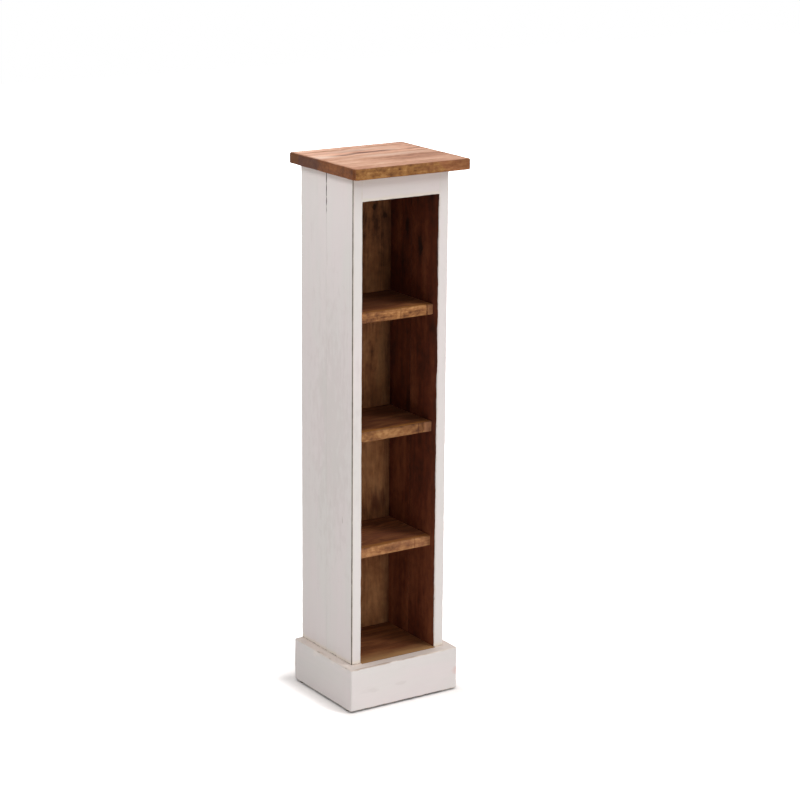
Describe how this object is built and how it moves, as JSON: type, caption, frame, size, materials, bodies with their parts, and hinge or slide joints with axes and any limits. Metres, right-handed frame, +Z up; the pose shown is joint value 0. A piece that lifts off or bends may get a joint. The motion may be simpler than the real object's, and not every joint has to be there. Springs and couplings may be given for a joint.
{
  "type": "storage tower",
  "caption": "Narrow open storage tower with fixed shelves, a stained overhanging top, painted sides and a painted plinth, for discs in their cases.",
  "frame": {"origin": "on the floor under the middle of the top, which is the middle of the whole object in width and depth", "axes": "+Z up; -Y is the open front, +Y the back; +X to the right of someone who faces the front"},
  "size_m": [0.18, 0.166, 0.75],
  "materials": {
    "top_wood": "warm brown stain, rubbed wax, satin",
    "inner_wood": "dark brown stain, satin",
    "shelf_wood": "brown stain above and below, paler sawn front edge",
    "painted_wood": "white paint outside with rubbed arrises, brown stain on the faces inside",
    "beech": "raw beech",
    "steel": "zinc-plated",
    "felt": "pressed felt"
  },
  "bodies": {
    "root": {"top_board_front": "top_wood", "top_board_rear": "top_wood", "left_side_front_board": "painted_wood", "left_side_rear_board": "painted_wood", "right_side_front_board": "painted_wood", "right_side_rear_board": "painted_wood", "top_rail": "painted_wood", "back_board_left": "inner_wood", "back_board_right": "inner_wood", "upper_shelf": "shelf_wood", "middle_shelf": "shelf_wood", "lower_shelf": "shelf_wood", "base_board": "inner_wood", "plinth_front": "painted_wood", "plinth_left": "painted_wood", "plinth_right": "painted_wood", "pad_front_left": "felt", "pad_front_right": "felt", "pad_rear_left": "felt", "pad_rear_right": "felt", "upper_shelf_dowel_left_front": "beech", "upper_shelf_dowel_left_rear": "beech", "upper_shelf_dowel_right_front": "beech", "upper_shelf_dowel_right_rear": "beech", "middle_shelf_dowel_left_front": "beech", "middle_shelf_dowel_left_rear": "beech", "middle_shelf_dowel_right_front": "beech", "middle_shelf_dowel_right_rear": "beech", "lower_shelf_dowel_left_front": "beech", "lower_shelf_dowel_left_rear": "beech", "lower_shelf_dowel_right_front": "beech", "lower_shelf_dowel_right_rear": "beech", "rail_dowel_left": "beech", "rail_dowel_right": "beech", "top_dowel_left_front": "beech", "top_dowel_left_rear": "beech", "top_dowel_right_front": "beech", "top_dowel_right_rear": "beech", "plinth_dowel_left_front": "beech", "plinth_dowel_left_rear": "beech", "plinth_dowel_right_front": "beech", "plinth_dowel_right_rear": "beech", "plinth_dowel_front_left": "beech", "plinth_dowel_front_right": "beech", "base_screw_left_front": "steel", "base_screw_left_rear": "steel", "base_screw_right_front": "steel", "base_screw_right_rear": "steel", "base_screw_back_left": "steel", "base_screw_back_right": "steel", "upper_shelf_nail_left": "steel", "upper_shelf_nail_right": "steel", "middle_shelf_nail_left": "steel", "middle_shelf_nail_right": "steel", "lower_shelf_nail_left": "steel", "lower_shelf_nail_right": "steel"}
  },
  "joints": []
}
